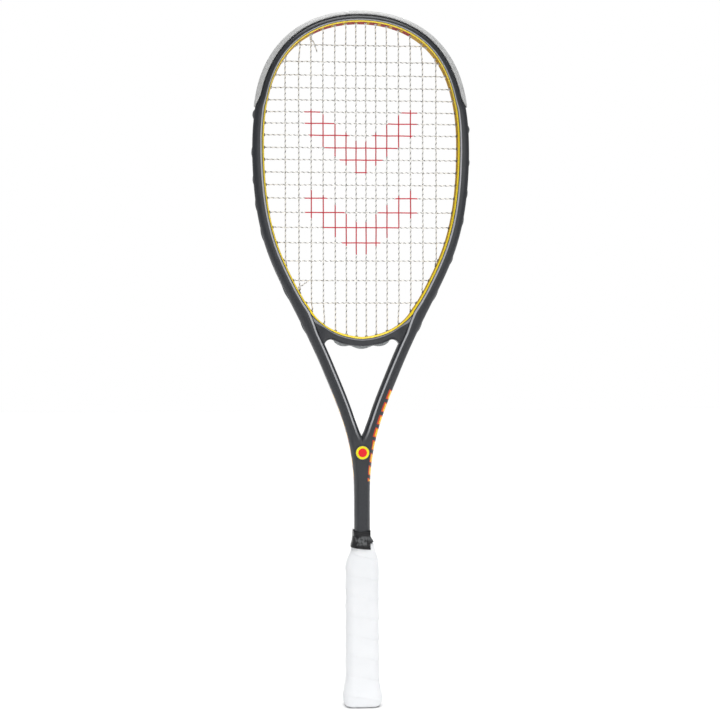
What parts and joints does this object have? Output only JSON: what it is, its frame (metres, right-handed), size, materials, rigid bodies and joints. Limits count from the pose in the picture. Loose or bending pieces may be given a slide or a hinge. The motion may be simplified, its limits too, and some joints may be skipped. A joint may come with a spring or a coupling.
{
  "type": "squash racket",
  "caption": "Strung squash racket with a teardrop head, an open throat closed by a bridge, a clear guard over the head and a white taped grip.",
  "frame": {"origin": "centre of the butt cap's flat end", "axes": "+Z from the butt cap to the top of the head; X across the head, in the plane of the strings; -Y is the face seen from the front"},
  "size_m": [0.2146, 0.0326, 0.686],
  "materials": {
    "graphite_paint": "clear-lacquered dark carbon fibre, with a yellow inner lip",
    "clear_nylon": "smoky translucent moulded nylon",
    "string": "cream multifilament with a dark spiral tracer",
    "foam": "cast polyurethane foam",
    "butt_plastic": "moulded black",
    "cushion_grip": "wound cushion grip",
    "overgrip_white": "thin tacky white polyurethane tape",
    "black_tape": "stretched vinyl tape",
    "butt_label": "printed disc",
    "tack_steel": "plated",
    "badge_yellow": "domed resin"
  },
  "bodies": {
    "root": {"frame": "graphite_paint", "throat_bridge": "graphite_paint", "bumper_guard": "clear_nylon", "grommet_strip_left": "clear_nylon", "grommet_strip_right": "clear_nylon", "throat_grommet_strip": "clear_nylon", "string": "string", "handle_foam": "foam", "butt_cap": "butt_plastic", "butt_cap_tack_left": "tack_steel", "butt_cap_tack_right": "tack_steel", "base_grip": "cushion_grip", "overgrip": "overgrip_white", "finishing_tape": "black_tape", "throat_badge": "badge_yellow", "butt_label": "butt_label"}
  },
  "joints": []
}
